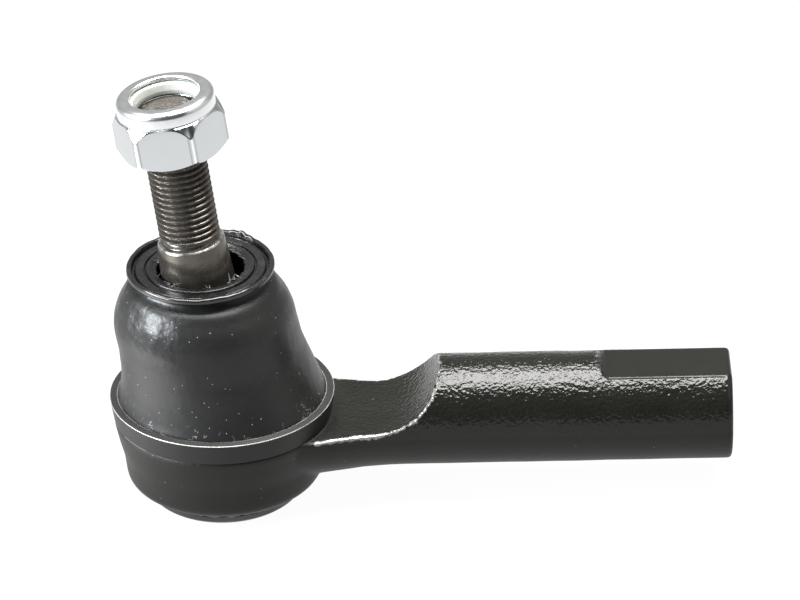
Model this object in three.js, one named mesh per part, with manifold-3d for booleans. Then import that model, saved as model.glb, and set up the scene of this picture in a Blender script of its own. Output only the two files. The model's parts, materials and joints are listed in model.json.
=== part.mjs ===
// Outer tie rod end of a car's steering linkage: forged housing with a threaded shank, ball stud in two
// seats, dust boot and a self-locking nut. Millimetres, +Z up, +X along the shank. The origin is the
// centre of the closing plate's outer face.
import * as THREE from 'three';
import { mergeVertices, toCreasedNormals } from 'three/addons/utils/BufferGeometryUtils.js';
import Module from 'manifold-3d';

const wasm = await Module();
wasm.setup();

// Clearances: between pieces that touch or turn in each other, and round the stud's thread.
const GAP = 0.3;
const THREAD_GAP = 0.3;

// Ball stud, measured along its own axis from the centre of the ball.
const BALL_R = 11;
const STUD_LEAN_DEG = 6.9;
const NECK_R = 5.4;
const TAPER_START = 22;
const TAPER_END = 40.3;
const TAPER_RATIO = 8;
const THREAD_R = 6;
const THREAD_START = 41.5;
const STUD_LENGTH = 68.8;
const TAPER_SMALL_R = THREAD_R + 0.65;

// Closing plate, coned spring and plastic seats, from the origin up to the ball.
const PLATE_T = 1.9;
const PLATE_FLANGE_Z = 3.3;
const SPRING_T = 1.1;
const SPRING_RISE = 1;
const SEAT_FLOOR = 1.2;
const SEAT_WALL = 3.3;
const GREASE_HOLE_R = 4;
const SEAT_R = BALL_R + SEAT_WALL;
const SEAT_FOOT_Z = PLATE_T + GAP + SPRING_RISE + SPRING_T + GAP;
const BALL_Z = SEAT_FOOT_Z + SEAT_FLOOR + GAP + BALL_R;
const SEAT_BALL_R = BALL_R + GAP;
const SEAT_BORE_R = SEAT_R + GAP;
const PLATE_RIM_R = SEAT_BORE_R + 2.6;
const PLATE_PAN_R = PLATE_RIM_R - 2;

// Housing: cup round the ball, web and shank.
const CUP_WALL = 6.9;
const CUP_R = SEAT_BORE_R + CUP_WALL;
const CUP_FOOT_R = CUP_R - 1.7;
const CUP_TOP_Z = BALL_Z + 1.3;
const LIP_Z = 2;
const LIP_BORE_R = PLATE_PAN_R + GAP;
const COLLAR_R = SEAT_BORE_R + 2.7;
const MOUTH_LIP = 2.4;
const MOUTH_R = BALL_R - 0.8;
const COLLAR_TOP_Z = BALL_Z + BALL_R / 2 + MOUTH_LIP;
const SHANK_R = 11;
const SHANK_END_X = 101.2;
const BORE_R = SHANK_R - 4.5;
const BORE_DEPTH = 36;
const FLATS_AF = 2 * SHANK_R - 3;
const FLATS_LENGTH = 25.5;
const WEB_TOP_RISE = 0.4;
const SCOOP_R = 14;
const SCOOP_X = 29.5;

// Dust boot and its rings. The boot's height runs from the cup's shoulder to its mouth.
const BOOT_H = 32.4;
const BOOT_T = 1.6;
const BOOT_TOP_Z = CUP_TOP_Z + BOOT_H;
const BOOT_TOP_X = -3.15;
const LIP_RING_H = 1.8;
const LIP_RING_BORE_R = TAPER_SMALL_R + 1.95;
const LIP_RING_R = LIP_RING_BORE_R + 6;
const BAND_R = CUP_R + 0.9;
const BAND_TOP_Z = CUP_TOP_Z + 3.9;
const BAND_H = 3.5;
const BAND_T = 1.4;

// Lock nut.
const NUT_AF = 2 * THREAD_R + 7.6;
const NUT_H = 12.3;
const NUT_HEX_H = 8.2;
const NUT_TURN_DEG = -4.1;
const NUT_PAST_END = 3.2;
const NUT_START = STUD_LENGTH + NUT_PAST_END - NUT_H;
const COLLAR_TURN_R = NUT_AF / 2 - 0.25;
const COLLAR_WALL = 1.1;
const INSERT_H = 2.4;

const ROUND = 64;
const ROUND_SMALL = 48;

function outward(geometry) {
  const p = geometry.attributes.position;
  const index = geometry.index.array;
  const a = new THREE.Vector3();
  const b = new THREE.Vector3();
  const c = new THREE.Vector3();
  let volume = 0;
  for (let i = 0; i < index.length; i += 3) {
    a.fromBufferAttribute(p, index[i]);
    b.fromBufferAttribute(p, index[i + 1]);
    c.fromBufferAttribute(p, index[i + 2]);
    volume += a.dot(b.cross(c));
  }
  if (volume < 0) {
    for (let i = 0; i < index.length; i += 3) {
      const kept = index[i];
      index[i] = index[i + 1];
      index[i + 1] = kept;
    }
  }
  return geometry;
}

function plain(geometry) {
  geometry.deleteAttribute('normal');
  geometry.deleteAttribute('uv');
  return outward(mergeVertices(geometry, 1e-4));
}

// A solid turned round +Z from [radius, height] points.
function turned(points, sides = ROUND) {
  const outline = points.map(([r, z]) => new THREE.Vector2(r, z));
  const geometry = new THREE.LatheGeometry(outline, sides);
  geometry.rotateX(Math.PI / 2);
  return plain(geometry);
}

// A flat outline of [x, y] points pushed up from z0 to z1.
function raised(points, z0, z1) {
  const shape = new THREE.Shape(points.map(([x, y]) => new THREE.Vector2(x, y)));
  const options = { depth: z1 - z0, bevelEnabled: false, curveSegments: 16 };
  const geometry = new THREE.ExtrudeGeometry(shape, options);
  geometry.translate(0, 0, z0);
  return plain(geometry);
}

function block(x0, x1, y0, y1, z0, z1) {
  const geometry = new THREE.BoxGeometry(x1 - x0, y1 - y0, z1 - z0);
  geometry.translate((x0 + x1) / 2, (y0 + y1) / 2, (z0 + z1) / 2);
  return plain(geometry);
}

function solid(geometry) {
  const vertProperties = new Float32Array(geometry.attributes.position.array);
  const triVerts = new Uint32Array(geometry.index.array);
  return new wasm.Manifold(new wasm.Mesh({ numProp: 3, vertProperties, triVerts }));
}

function shell(body) {
  const mesh = body.getMesh();
  const geometry = new THREE.BufferGeometry();
  const positions = new Float32Array(mesh.vertProperties);
  geometry.setAttribute('position', new THREE.BufferAttribute(positions, 3));
  geometry.setIndex(new THREE.BufferAttribute(new Uint32Array(mesh.triVerts), 1));
  return geometry;
}

// A solid through a row of closed sections with the same number of points, capped at both ends.
function lofted(sections) {
  const count = sections[0].length;
  const positions = [];
  const index = [];
  sections.forEach((section) => section.forEach((point) => positions.push(...point)));
  for (let s = 0; s + 1 < sections.length; s += 1) {
    for (let i = 0; i < count; i += 1) {
      const a = s * count + i;
      const b = s * count + ((i + 1) % count);
      index.push(a, b, a + count);
      index.push(b, b + count, a + count);
    }
  }
  const last = (sections.length - 1) * count;
  for (let i = 1; i + 1 < count; i += 1) {
    index.push(0, i + 1, i);
    index.push(last, last + i, last + i + 1);
  }
  const geometry = new THREE.BufferGeometry();
  geometry.setAttribute('position', new THREE.Float32BufferAttribute(positions, 3));
  geometry.setIndex(new THREE.BufferAttribute(new Uint32Array(index), 1));
  return outward(geometry);
}

function arc(cx, cz, r, from, to, steps) {
  const points = [];
  for (let i = 0; i <= steps; i += 1) {
    const a = THREE.MathUtils.degToRad(from + ((to - from) * i) / steps);
    points.push([cx + r * Math.cos(a), cz + r * Math.sin(a)]);
  }
  return points;
}

const part = new THREE.Group();
part.name = 'tie_rod_end';

function add(name, geometry, color, roughness, metalness) {
  const material = new THREE.MeshStandardMaterial({ color, roughness, metalness });
  const mesh = new THREE.Mesh(toCreasedNormals(geometry, 0.6), material);
  mesh.name = name;
  part.add(mesh);
}

// Turns a solid made along +Z from the ball's centre to the stud's own lean.
function onStud(geometry) {
  geometry.rotateY(-THREE.MathUtils.degToRad(STUD_LEAN_DEG));
  geometry.translate(0, 0, BALL_Z);
  return geometry;
}

// Housing. The cup's wall draws in towards the rolled lip under the closing plate.
const counterboreR = PLATE_RIM_R + GAP;
const flangeTop = PLATE_FLANGE_Z + PLATE_T;
const cup = solid(turned([
  [0, LIP_Z],
  [LIP_BORE_R + 0.6, LIP_Z],
  [LIP_BORE_R + 2, LIP_Z + 0.5],
  [LIP_BORE_R + 3.3, LIP_Z + 1.5],
  [CUP_FOOT_R - 0.3, LIP_Z + 2.8],
  [CUP_FOOT_R, LIP_Z + 4.2],
  [CUP_FOOT_R + 0.25, 9.8],
  [CUP_FOOT_R + 1, 13.4],
  [CUP_R, CUP_TOP_Z - 1],
  [CUP_R, CUP_TOP_Z],
  [COLLAR_R, CUP_TOP_Z],
  [COLLAR_R, COLLAR_TOP_Z - 2],
  [COLLAR_R + 0.5, COLLAR_TOP_Z - 1.4],
  [COLLAR_R, COLLAR_TOP_Z - 0.4],
  [COLLAR_R - 0.6, COLLAR_TOP_Z],
  [0, COLLAR_TOP_Z],
]));

// Web and shank are one bar. The web's underside is the shank's own round, wider towards the cup, and
// its top is scooped flat.
const shankStart = 24;
const shankLength = SHANK_END_X - shankStart;
const shankBar = turned([
  [0, 0],
  [SHANK_R, 0],
  [SHANK_R, shankLength - 0.5],
  [SHANK_R - 0.5, shankLength],
  [0, shankLength],
]);
shankBar.rotateY(Math.PI / 2);
shankBar.translate(shankStart, 0, BALL_Z);
const webStations = [
  [8, 6.6, 1.5], [13, 5.4, 1.3], [17.4, 3.3, 1.1], [21, 2.1, 0.9], [24.5, 1.35, 0.6], [28, 0.7, 0.25],
  [33, 0.15, 0.05], [37, -0.1, -0.1],
];
function webSection([x, wider, deeper]) {
  const section = [];
  for (let i = 0; i <= 28; i += 1) {
    const a = Math.PI + (Math.PI * i) / 28;
    section.push([x, (SHANK_R + wider) * Math.cos(a), BALL_Z + (SHANK_R + deeper) * Math.sin(a)]);
  }
  section.push([x, SHANK_R + wider, BALL_Z + WEB_TOP_RISE + 1]);
  section.push([x, -SHANK_R - wider, BALL_Z + WEB_TOP_RISE + 1]);
  return section;
}
const web = solid(lofted(webStations.map(webSection)));
const scoopTop = BALL_Z + WEB_TOP_RISE;
const scoopCentre = scoopTop + SCOOP_R;
const scoopReach = Math.acos((scoopCentre - BALL_Z - SHANK_R - 1) / SCOOP_R);
const scoopOutline = [[-2, scoopTop]];
for (let i = 0; i <= 14; i += 1) {
  const a = (scoopReach * i) / 14;
  scoopOutline.push([SCOOP_X + SCOOP_R * Math.sin(a), scoopCentre - SCOOP_R * Math.cos(a)]);
}
scoopOutline.push([-2, scoopOutline[scoopOutline.length - 1][1]]);
const scoop = raised(scoopOutline, -30, 30);
scoop.rotateX(Math.PI / 2);
const bar = solid(shankBar).add(web).subtract(solid(plain(scoop)));

// Inside of the cup: rolled lip, counterbore for the plate, bore for the seats, mouth for the stud.
const inside = solid(turned([
  [0, -1],
  [LIP_BORE_R, -1],
  [LIP_BORE_R, PLATE_FLANGE_Z - GAP],
  [counterboreR, PLATE_FLANGE_Z - GAP],
  [counterboreR, flangeTop + GAP],
  [SEAT_BORE_R, flangeTop + GAP],
  [SEAT_BORE_R, COLLAR_TOP_Z - MOUTH_LIP],
  [MOUTH_R, COLLAR_TOP_Z - MOUTH_LIP],
  [MOUTH_R, COLLAR_TOP_Z - 1],
  [MOUTH_R + 1, COLLAR_TOP_Z],
  [MOUTH_R + 1, COLLAR_TOP_Z + 1],
  [0, COLLAR_TOP_Z + 1],
]));
const boreTool = turned([
  [0, -BORE_DEPTH - 2.5],
  [BORE_R, -BORE_DEPTH],
  [BORE_R, -1.2],
  [BORE_R + 1.2, 0],
  [BORE_R + 1.2, 1],
  [0, 1],
]);
boreTool.rotateY(Math.PI / 2);
boreTool.translate(SHANK_END_X, 0, BALL_Z);
const flatsX = SHANK_END_X - FLATS_LENGTH;
const half = FLATS_AF / 2;
const flatTop = block(flatsX, SHANK_END_X + 1, -12, 12, BALL_Z + half, BALL_Z + half + 4);
const flatUnder = block(flatsX, SHANK_END_X + 1, -12, 12, BALL_Z - half - 4, BALL_Z - half);
const housing = cup
  .add(bar)
  .subtract(inside)
  .subtract(solid(boreTool))
  .subtract(solid(flatTop))
  .subtract(solid(flatUnder));
add('housing', shell(housing), 0x1b1c1d, 0.5, 0.35);

// Closing plate: a pressed pan whose flange is caught under the housing's rolled lip.
add('cover_plate', turned([
  [0, 0],
  [PLATE_PAN_R - 0.8, 0],
  [PLATE_PAN_R, 0.8],
  [PLATE_PAN_R, PLATE_FLANGE_Z],
  [PLATE_RIM_R, PLATE_FLANGE_Z],
  [PLATE_RIM_R, flangeTop],
  [PLATE_PAN_R - PLATE_T, flangeTop],
  [PLATE_PAN_R - PLATE_T, PLATE_T],
  [0, PLATE_T],
]), 0xb9bdc0, 0.3, 1);

// Coned washer spring, standing on the pan and pushing the lower seat up.
const springFoot = PLATE_T + GAP;
const springR = PLATE_PAN_R - PLATE_T - 2 * GAP;
const springBoreR = GREASE_HOLE_R + 1.2;
add('preload_spring', turned([
  [springR, springFoot],
  [springR, springFoot + SPRING_T],
  [springBoreR, springFoot + SPRING_RISE + SPRING_T],
  [springBoreR, springFoot + SPRING_RISE],
  [springR, springFoot],
], ROUND_SMALL), 0x55585c, 0.4, 1);

// Lower seat: a plastic cup with a grease hole, stepped to pass the plate's flange.
const seatStep = flangeTop + 2 * GAP;
const seatParting = 0.25;
const degrees = THREE.MathUtils.radToDeg;
const partingAngle = degrees(Math.asin(seatParting / SEAT_BALL_R));
function seatArc(from, to, steps) {
  return arc(0, BALL_Z, SEAT_BALL_R, from, to, steps);
}
const holeAngle = -degrees(Math.acos(GREASE_HOLE_R / SEAT_BALL_R));
add('lower_seat', turned([
  [GREASE_HOLE_R, SEAT_FOOT_Z],
  [springR - GAP, SEAT_FOOT_Z],
  [springR - GAP, seatStep],
  [SEAT_R, seatStep],
  [SEAT_R, BALL_Z - seatParting],
  ...seatArc(-partingAngle, holeAngle, 10),
  [GREASE_HOLE_R, SEAT_FOOT_Z],
], ROUND_SMALL), 0xd9d5c6, 0.5, 0);

// Upper seat: a plastic ring under the housing's mouth that holds the ball down.
const upperTop = COLLAR_TOP_Z - MOUTH_LIP - GAP;
const upperAngle = degrees(Math.asin((upperTop - BALL_Z) / SEAT_BALL_R));
const upperArc = seatArc(upperAngle, partingAngle, 6);
add('upper_seat', turned([
  ...upperArc,
  [SEAT_R, BALL_Z + seatParting],
  [SEAT_R, upperTop],
  upperArc[0],
], ROUND_SMALL), 0xd9d5c6, 0.5, 0);

// Ball stud: ball, waist, taper, undercut and thread in one piece.
const taperBigR = TAPER_SMALL_R + (TAPER_END - TAPER_START) / (2 * TAPER_RATIO);
const waistAngle = degrees(Math.acos(NECK_R / BALL_R));
const ballFlatAngle = -degrees(Math.acos(3 / BALL_R));
const ballPoints = arc(0, 0, BALL_R, ballFlatAngle, waistAngle, 18);
add('ball_stud', onStud(turned([
  [0, ballPoints[0][1]],
  ...ballPoints,
  [NECK_R, TAPER_START - 4.5],
  [NECK_R + 0.8, TAPER_START - 2],
  [taperBigR, TAPER_START],
  [TAPER_SMALL_R, TAPER_END - 0.6],
  [TAPER_SMALL_R - 0.7, TAPER_END],
  [THREAD_R - 0.8, TAPER_END + 0.2],
  [THREAD_R - 0.8, THREAD_START - 0.4],
  [THREAD_R, THREAD_START + 0.2],
  [THREAD_R, STUD_LENGTH - 0.9],
  [THREAD_R - 0.9, STUD_LENGTH],
  [0, STUD_LENGTH],
])), 0x4a433d, 0.45, 0.9);

// Dust boot. Its sections are round, and their centres drift with the stud's lean. Each outline point
// is a share of the foot's radius and a share of the boot's height.
const bootR = BAND_R - BAND_T - GAP;
const bootFoot = CUP_TOP_Z + 0.4;
const bootNeck = BOOT_TOP_Z - LIP_RING_H - GAP;
const skirt = [
  [0.961, 0.209], [0.926, 0.304], [0.9, 0.399], [0.88, 0.494], [0.878, 0.589], [0.865, 0.684],
  [0.82, 0.778], [0.759, 0.848], [0.706, 0.902],
].map(([r, h]) => [bootR * r, CUP_TOP_Z + BOOT_H * h]);
const neckR = LIP_RING_R - 1.3;
const neckBoreR = LIP_RING_BORE_R + 2;
const bootOuter = [
  [bootR, bootFoot], [bootR, BAND_TOP_Z + 0.3], ...skirt, [neckR, bootNeck - 0.4], [neckR, bootNeck],
];
const bootInner = skirt.slice(0, 8).reverse().map(([r, z]) => [r - BOOT_T, z - 0.2]);
const bootOutline = [
  ...bootOuter, [neckBoreR, bootNeck], [neckBoreR, bootNeck - BOOT_T], ...bootInner,
  [COLLAR_R + 0.9, BAND_TOP_Z + 1.3], [COLLAR_R + GAP, BAND_TOP_Z], [COLLAR_R + GAP, bootFoot],
  [bootR, bootFoot],
];
const drift = [[0, 0.146], [0.116, 0.272], [0.417, 0.43], [0.594, 0.525], [0.777, 0.652], [0.82, 0.778],
  [0.878, 0.873], [1, 0.94]].map(([x, h]) => [BOOT_TOP_X * x, CUP_TOP_Z + BOOT_H * h]);
function driftAt(z) {
  if (z <= drift[0][1]) {
    return drift[0][0];
  }
  for (let i = 1; i < drift.length; i += 1) {
    if (z <= drift[i][1]) {
      const share = (z - drift[i - 1][1]) / (drift[i][1] - drift[i - 1][1]);
      return drift[i - 1][0] + share * (drift[i][0] - drift[i - 1][0]);
    }
  }
  return BOOT_TOP_X;
}
const boot = turned(bootOutline);
const bootPoints = boot.attributes.position;
for (let i = 0; i < bootPoints.count; i += 1) {
  bootPoints.setX(i, bootPoints.getX(i) + driftAt(bootPoints.getZ(i)));
}
add('dust_boot', boot, 0x1f2021, 0.55, 0);

// Ring in the boot's mouth, stepped inwards round the stud.
const lipFoot = BOOT_TOP_Z - LIP_RING_H;
const lipRing = turned([
  [LIP_RING_R - 1.8, lipFoot],
  [LIP_RING_R, BOOT_TOP_Z - 0.9],
  [LIP_RING_R, BOOT_TOP_Z - 0.2],
  [LIP_RING_R - 0.6, BOOT_TOP_Z],
  [LIP_RING_R - 1.2, BOOT_TOP_Z - 0.5],
  [LIP_RING_BORE_R + 2.4, BOOT_TOP_Z - 0.5],
  [LIP_RING_BORE_R + 1.9, BOOT_TOP_Z - 0.1],
  [LIP_RING_BORE_R + 1, BOOT_TOP_Z - 0.1],
  [LIP_RING_BORE_R, BOOT_TOP_Z - 0.9],
  [LIP_RING_BORE_R, lipFoot],
  [LIP_RING_R - 1.8, lipFoot],
]);
lipRing.translate(BOOT_TOP_X, 0, 0);
add('boot_lip_ring', lipRing, 0x26282a, 0.45, 0.2);

// Steel band that clamps the boot's foot to the collar.
add('boot_base_ring', turned([
  [BAND_R - BAND_T, BAND_TOP_Z - BAND_H],
  [BAND_R - 0.5, BAND_TOP_Z - BAND_H],
  [BAND_R, BAND_TOP_Z - BAND_H + 1],
  [BAND_R, BAND_TOP_Z - 0.3],
  [BAND_R - 0.3, BAND_TOP_Z],
  [BAND_R - BAND_T, BAND_TOP_Z],
  [BAND_R - BAND_T, BAND_TOP_Z - BAND_H],
]), 0x202122, 0.4, 0.6);

// Lock nut: chamfered hexagon with a round collar rolled over the insert.
const acrossCorners = NUT_AF / Math.cos(Math.PI / 6);
const hexagon = [];
for (let i = 0; i < 6; i += 1) {
  const a = (i * Math.PI) / 3 + Math.PI / 6 - THREE.MathUtils.degToRad(NUT_TURN_DEG);
  hexagon.push([(acrossCorners / 2) * Math.sin(a), (acrossCorners / 2) * Math.cos(a)]);
}
const nutBore = THREAD_R + THREAD_GAP;
const nutTop = NUT_START + NUT_H;
const hexTop = NUT_START + NUT_HEX_H;
const insertFoot = nutTop - 0.9 - INSERT_H;
const insertHollowR = COLLAR_TURN_R - COLLAR_WALL;
const hexBody = solid(raised(hexagon, NUT_START, hexTop + 2)).intersect(solid(turned([
  [0, NUT_START],
  [NUT_AF / 2 - 0.4, NUT_START],
  [acrossCorners / 2 + 0.1, NUT_START + 0.9],
  [acrossCorners / 2 + 0.1, hexTop - 0.9],
  [NUT_AF / 2 - 0.2, hexTop + 0.1],
  [COLLAR_TURN_R, hexTop + 0.3],
  [0, hexTop + 0.3],
], ROUND_SMALL)));
const collar = solid(turned([
  [0, hexTop - 1],
  [COLLAR_TURN_R, hexTop - 1],
  [COLLAR_TURN_R, nutTop - 1.3],
  [COLLAR_TURN_R - 0.5, nutTop - 0.4],
  [COLLAR_TURN_R - 1.3, nutTop],
  [0, nutTop],
], ROUND_SMALL));
const nutInside = solid(turned([
  [0, NUT_START - 1],
  [nutBore + 1.5, NUT_START - 1],
  [nutBore + 0.7, NUT_START],
  [nutBore, NUT_START + 0.7],
  [nutBore, insertFoot - GAP],
  [insertHollowR, insertFoot - GAP],
  [insertHollowR, nutTop - 0.6],
  [insertHollowR - 1, nutTop - 0.3],
  [insertHollowR - 1, nutTop + 1],
  [0, nutTop + 1],
], ROUND_SMALL));
add('lock_nut', onStud(shell(hexBody.add(collar).subtract(nutInside))), 0xc9ced3, 0.22, 1);

// Nylon insert, held under the nut's rolled lip.
const insertR = insertHollowR - GAP;
add('nylon_insert', onStud(turned([
  [nutBore, insertFoot],
  [insertR, insertFoot],
  [insertR, insertFoot + INSERT_H - 0.3],
  [insertR - 0.6, insertFoot + INSERT_H],
  [nutBore + 0.4, insertFoot + INSERT_H],
  [nutBore, insertFoot + INSERT_H - 0.4],
  [nutBore, insertFoot],
], ROUND_SMALL)), 0xece8dc, 0.45, 0);

export default part;
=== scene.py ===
import json
import math
import bmesh
import bpy
import numpy as np
from mathutils import Matrix, Vector, noise


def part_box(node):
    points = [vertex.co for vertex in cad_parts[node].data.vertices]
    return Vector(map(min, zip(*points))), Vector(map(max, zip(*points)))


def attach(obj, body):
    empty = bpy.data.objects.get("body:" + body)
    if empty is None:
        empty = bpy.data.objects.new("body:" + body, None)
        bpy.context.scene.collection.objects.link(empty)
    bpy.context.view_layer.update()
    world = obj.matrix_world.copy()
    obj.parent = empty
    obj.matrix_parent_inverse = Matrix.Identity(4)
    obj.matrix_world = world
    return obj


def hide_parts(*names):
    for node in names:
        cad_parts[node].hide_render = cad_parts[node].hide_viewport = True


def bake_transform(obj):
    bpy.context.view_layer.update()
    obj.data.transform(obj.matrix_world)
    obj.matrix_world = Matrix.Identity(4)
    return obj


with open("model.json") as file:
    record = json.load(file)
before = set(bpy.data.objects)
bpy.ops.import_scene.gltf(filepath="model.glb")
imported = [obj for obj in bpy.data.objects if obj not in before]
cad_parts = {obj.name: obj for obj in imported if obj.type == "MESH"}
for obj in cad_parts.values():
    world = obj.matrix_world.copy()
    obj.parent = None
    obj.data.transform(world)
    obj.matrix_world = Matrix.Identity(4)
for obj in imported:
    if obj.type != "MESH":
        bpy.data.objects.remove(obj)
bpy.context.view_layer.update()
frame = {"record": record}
joints = {j["name"]: j for j in frame["record"]["behaviour"]["joints"]}


# ---------------------------------------------------------------- camera, floor and light
# A pale glowing floor, a wide softbox overhead and a smaller oval one at the left. Dim cards in front
# and at the sides keep the black coat dark and give its highlights their shape.

CAMERA_AIM = Vector((0.03586, 0.0, 0.04189))
CAMERA_DISTANCE = 1.016
CAMERA_HEIGHT_DEG = 29.0
CAMERA_TURN_DEG = 0.7
CAMERA_ROLL_DEG = -1.47
CAMERA_LENS_MM = 232.07
FLOOR_Z = -0.0002
FLAG_BLACK = (0.01, 0.01, 0.01)

lift, turn, roll = (math.radians(a) for a in (CAMERA_HEIGHT_DEG, CAMERA_TURN_DEG, CAMERA_ROLL_DEG))
backward = Vector((math.sin(turn) * math.cos(lift), -math.cos(turn) * math.cos(lift), math.sin(lift)))
level = Vector((math.cos(turn), math.sin(turn), 0.0))
upright = backward.cross(level)
across = math.cos(roll) * level + math.sin(roll) * upright
upward = -math.sin(roll) * level + math.cos(roll) * upright
camera = bpy.data.objects.new("camera", bpy.data.cameras.new("camera"))
camera.data.lens = CAMERA_LENS_MM
camera.data.sensor_width = 36.0
camera.data.clip_start, camera.data.clip_end = 0.05, 40.0
camera.matrix_world = Matrix.Translation(CAMERA_AIM + backward * CAMERA_DISTANCE) @ Matrix(
    (across, upward, backward)).transposed().to_4x4()
bpy.context.collection.objects.link(camera)
bpy.context.scene.camera = camera
bpy.context.scene.view_settings.view_transform = "Standard"

world = bpy.data.worlds.new("studio")
world.use_nodes = True
world.node_tree.nodes["Background"].inputs["Color"].default_value = (1.0, 1.0, 1.0, 1.0)
world.node_tree.nodes["Background"].inputs["Strength"].default_value = 0.4
bpy.context.scene.world = world


def stage_card(name, centre, facing, width, height, colour, glow, seen, tint=(1, 1, 1)):
    """A flat card of the studio: a floor, a softbox front or a flag."""
    mesh = bpy.data.meshes.new(name)
    w, h = width / 2, height / 2
    mesh.from_pydata([(-w, -h, 0), (w, -h, 0), (w, h, 0), (-w, h, 0)], [], [(0, 1, 2, 3)])
    card = bpy.data.objects.new(name, mesh)
    turned_to = Vector(facing).to_track_quat("Z", "Y").to_matrix().to_4x4()
    card.matrix_world = Matrix.Translation(centre) @ turned_to
    material = bpy.data.materials.new(name)
    material.use_nodes = True
    shader = material.node_tree.nodes["Principled BSDF"]
    shader.inputs["Base Color"].default_value = (*colour, 1)
    shader.inputs["Roughness"].default_value = 0.9
    shader.inputs["Specular IOR Level"].default_value = 0.0
    shader.inputs["Emission Color"].default_value = (*tint, 1)
    shader.inputs["Emission Strength"].default_value = glow
    mesh.materials.append(material)
    bpy.context.collection.objects.link(card)
    card.visible_camera = seen
    if not seen:
        card.visible_shadow = False
    return card


def softbox(name, direction, distance, width, height, power, colour):
    """An area lamp at a distance from the object, facing it."""
    lamp = bpy.data.lights.new(name, "AREA")
    lamp.shape = "RECTANGLE"
    lamp.size, lamp.size_y = width, height
    lamp.energy = power
    lamp.color = colour
    box = bpy.data.objects.new(name, lamp)
    aim = Vector((0.03, 0.0, 0.03))
    heading = Vector(direction).normalized()
    box.matrix_world = Matrix.Translation(aim + heading * distance) @ heading.to_track_quat(
        "Z", "Y").to_matrix().to_4x4()
    bpy.context.collection.objects.link(box)
    return box


floor = stage_card("pale_floor", (0, 0, FLOOR_Z), (0, 0, 1), 6.0, 6.0, (0.03, 0.03, 0.03), 0.97, True)
stage_card("front_flag", (0.03, -0.75, 0.62), (0, 1, -0.35), 1.6, 1.35, FLAG_BLACK, 0.05, False,
           (0.6, 0.75, 1.0))
stage_card("right_card", (1.0, 0.0, 0.3), (-1, 0, 0), 1.0, 0.6, FLAG_BLACK, 0.6, False)
stage_card("left_wall", (-0.9, -0.25, 0.9), (1, 0.25, -0.8), 1.0, 0.7, FLAG_BLACK, 1.1, False)
stage_card("right_wall", (0.95, -0.2, 0.9), (-1, 0.2, -0.8), 1.0, 0.7, FLAG_BLACK, 0.9, False)
softbox("overhead_softbox", (0, 0.07, 1), 0.9, 0.9, 0.62, 46, (1.0, 0.99, 0.98))
left_softbox = softbox("left_softbox", (-0.887, -0.29, 0.375), 0.9, 0.56, 0.3, 26, (0.9, 0.95, 1.0))
left_softbox.data.shape = "ELLIPSE"

# a painted pool of light: the floor glows brighter in a patch beside the object, below the lamp at the left
PATCH_CENTRE, PATCH_CORE, PATCH_EDGE, PATCH_PAINTED_GLOW = (-0.095, -0.04, 0.0), 0.03, 0.075, 5.0
floor.matrix_world = Matrix.Translation((0, 0, FLOOR_Z))
floor_tree = floor.data.materials[0].node_tree
floor_place = floor_tree.nodes.new("ShaderNodeTexCoord")
floor_reach = floor_tree.nodes.new("ShaderNodeVectorMath")
floor_reach.operation = "DISTANCE"
floor_reach.inputs[1].default_value = PATCH_CENTRE
painted_patch_ramp = floor_tree.nodes.new("ShaderNodeMapRange")
painted_patch_ramp.interpolation_type = "SMOOTHSTEP"
painted_patch_range = {"From Min": PATCH_CORE, "From Max": PATCH_EDGE, "To Min": PATCH_PAINTED_GLOW, "To Max": 1.0}
for key, value in painted_patch_range.items():
    painted_patch_ramp.inputs[key].default_value = value
floor_tree.links.new(floor_place.outputs["Object"], floor_reach.inputs[0])
floor_tree.links.new(floor_reach.outputs["Value"], painted_patch_ramp.inputs["Value"])

# painted falloff of light: away from the object the floor's glow drops into a soft grey
POOL_CENTRE, POOL_EDGE, POOL_END, POOL_PAINTED_DIM = (0.036, 0.05, 0.0), 0.24, 0.5, 0.5
pool_reach = floor_tree.nodes.new("ShaderNodeVectorMath")
pool_reach.operation = "DISTANCE"
pool_reach.inputs[1].default_value = POOL_CENTRE
painted_falloff_ramp = floor_tree.nodes.new("ShaderNodeMapRange")
painted_falloff_ramp.interpolation_type = "SMOOTHSTEP"
painted_falloff_range = {"From Min": POOL_EDGE, "From Max": POOL_END, "To Min": 1.0, "To Max": POOL_PAINTED_DIM}
for key, value in painted_falloff_range.items():
    painted_falloff_ramp.inputs[key].default_value = value
floor_glow = floor_tree.nodes.new("ShaderNodeMath")
floor_glow.operation = "MULTIPLY"
floor_tree.links.new(floor_place.outputs["Object"], pool_reach.inputs[0])
floor_tree.links.new(pool_reach.outputs["Value"], painted_falloff_ramp.inputs["Value"])
floor_tree.links.new(painted_patch_ramp.outputs["Result"], floor_glow.inputs[0])
floor_tree.links.new(painted_falloff_ramp.outputs["Result"], floor_glow.inputs[1])
floor_shader = floor_tree.nodes["Principled BSDF"]
floor_tree.links.new(floor_glow.outputs["Value"], floor_shader.inputs["Emission Color"])


# ---------------------------------------------------------------- closing plate
# Pressed steel pan that closes the cup from below. Bright zinc, its flange caught under the rolled
# lip of the housing.


class Wire:
    """A shader socket that takes part in sums."""

    def __init__(self, finish, socket):
        self.finish = finish
        self.socket = socket

    def maths(self, operation, first, second):
        return self.finish.node("ShaderNodeMath", {"operation": operation}, {0: first, 1: second})

    def __add__(self, other):
        return self.maths("ADD", self, other)

    def __radd__(self, other):
        return self.maths("ADD", other, self)

    def __sub__(self, other):
        return self.maths("SUBTRACT", self, other)

    def __rsub__(self, other):
        return self.maths("SUBTRACT", other, self)

    def __mul__(self, other):
        return self.maths("MULTIPLY", self, other)

    def __rmul__(self, other):
        return self.maths("MULTIPLY", other, self)

    def between(self, low, high):
        """0 below low, 1 above high, smooth in between."""
        return self.finish.node(
            "ShaderNodeMapRange",
            {"interpolation_type": "SMOOTHSTEP"},
            {"Value": self, "From Min": low, "From Max": high},
        )


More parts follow.
